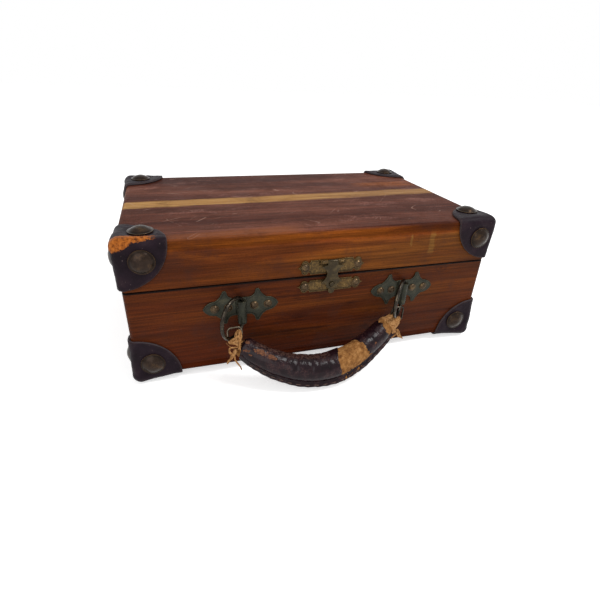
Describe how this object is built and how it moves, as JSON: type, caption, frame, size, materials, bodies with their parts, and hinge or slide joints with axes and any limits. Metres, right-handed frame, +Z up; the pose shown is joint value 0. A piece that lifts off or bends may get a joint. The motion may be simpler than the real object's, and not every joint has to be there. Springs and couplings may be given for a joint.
{
  "type": "shaving chest",
  "caption": "Small cedar chest with leather corners under domed nails, a hinged lid, a brass hasp on the front, and a padded leather handle hung from rings on two cut-out plates",
  "frame": {"origin": "on the plane that the chest stands on, below the middle of the wooden case", "axes": "+Z up; +X along the length of the case, to the right seen from the front; the front with its hasp and handle faces -Y"},
  "size_m": [0.2642, 0.2031, 0.1037],
  "materials": {
    "cedar": "red-brown cedar, varnished, one pale streak along the top",
    "corner_leather": "near-black, worn",
    "nail_brass": "aged, dull brass domes",
    "plate_metal": "dark grey-green patina",
    "ring_wire": "tarnished wire",
    "handle_leather": "dark, glossy, worn to tan in places",
    "core_cord": "rolled webbing",
    "raw_leather": "bare tan leather, frayed",
    "hasp_brass": "aged brass",
    "hinge_brass": "aged brass",
    "steel": "plain steel"
  },
  "bodies": {
    "base": {"base_front_board": "cedar", "base_back_board": "cedar", "base_left_side_board": "cedar", "base_right_side_board": "cedar", "base_bottom_panel": "cedar", "base_corner_front_left": "corner_leather", "base_corner_front_right": "corner_leather", "base_corner_back_left": "corner_leather", "base_corner_back_right": "corner_leather", "base_corner_nails": "nail_brass", "foot_nails": "nail_brass", "left_handle_plate": "plate_metal", "right_handle_plate": "plate_metal", "handle_plate_tacks": "nail_brass", "catch_plate": "hasp_brass", "catch_knob": "hasp_brass", "catch_plate_tacks": "nail_brass", "left_hinge_lower_leaf": "hinge_brass", "left_hinge_pin": "steel", "right_hinge_lower_leaf": "hinge_brass", "right_hinge_pin": "steel", "lower_hinge_screws": "steel"},
    "lid": {"lid_front_board": "cedar", "lid_back_board": "cedar", "lid_left_side_board": "cedar", "lid_right_side_board": "cedar", "lid_top_panel": "cedar", "lid_corner_front_left": "corner_leather", "lid_corner_front_right": "corner_leather", "lid_corner_back_left": "corner_leather", "lid_corner_back_right": "corner_leather", "lid_corner_nails": "nail_brass", "hasp_leaf": "hasp_brass", "hasp_leaf_tacks": "nail_brass", "hasp_pin": "hasp_brass", "left_hinge_upper_leaf": "hinge_brass", "right_hinge_upper_leaf": "hinge_brass", "upper_hinge_screws": "steel"},
    "hasp_tongue": {"hasp_tongue": "hasp_brass"},
    "left_ring": {"left_ring": "ring_wire"},
    "right_ring": {"right_ring": "ring_wire"},
    "left_link": {"left_end_link": "ring_wire"},
    "right_link": {"right_end_link": "ring_wire"},
    "handle": {"handle_cover": "handle_leather", "handle_core": "core_cord", "left_handle_eye": "raw_leather", "right_handle_eye": "raw_leather"}
  },
  "joints": [
    {"name": "lid_hinge", "type": "hinge", "parent": "base", "child": "lid", "pos_m": [0, 0.0827, 0.0674], "axis": [-1, 0, 0], "range_deg": [0, 110]},
    {"name": "hasp_swing", "type": "hinge", "parent": "lid", "child": "hasp_tongue", "pos_m": [0.004, -0.0815, 0.07755], "axis": [-1, 0, 0], "range_deg": [0, 160]},
    {"name": "left_ring_swing", "type": "hinge", "parent": "base", "child": "left_ring", "pos_m": [-0.057, -0.0832, 0.0483], "axis": [0, 0, 1], "range_deg": [-16, 100]},
    {"name": "right_ring_swing", "type": "hinge", "parent": "base", "child": "right_ring", "pos_m": [0.06, -0.0832, 0.0483], "axis": [0, 0, 1], "range_deg": [-16, 100]},
    {"name": "left_link_turn", "type": "hinge", "parent": "left_ring", "child": "left_link", "pos_m": [-0.06336, -0.09026, 0.035], "axis": [0, 0, 1], "range_deg": [-100, 16]},
    {"name": "right_link_turn", "type": "hinge", "parent": "right_ring", "child": "right_link", "pos_m": [0.05364, -0.09026, 0.035], "axis": [0, 0, 1], "range_deg": [-100, 16]},
    {"name": "handle_lift", "type": "hinge", "parent": "left_link", "child": "handle", "pos_m": [-0.06336, -0.09026, 0.03135], "axis": [-1, 0, 0], "range_deg": [-35, 24]}
  ],
  "couplings": [
    {"joint": "right_ring_swing", "follows": "left_ring_swing", "ratio": 1},
    {"joint": "left_link_turn", "follows": "left_ring_swing", "ratio": -1},
    {"joint": "right_link_turn", "follows": "left_ring_swing", "ratio": -1}
  ]
}
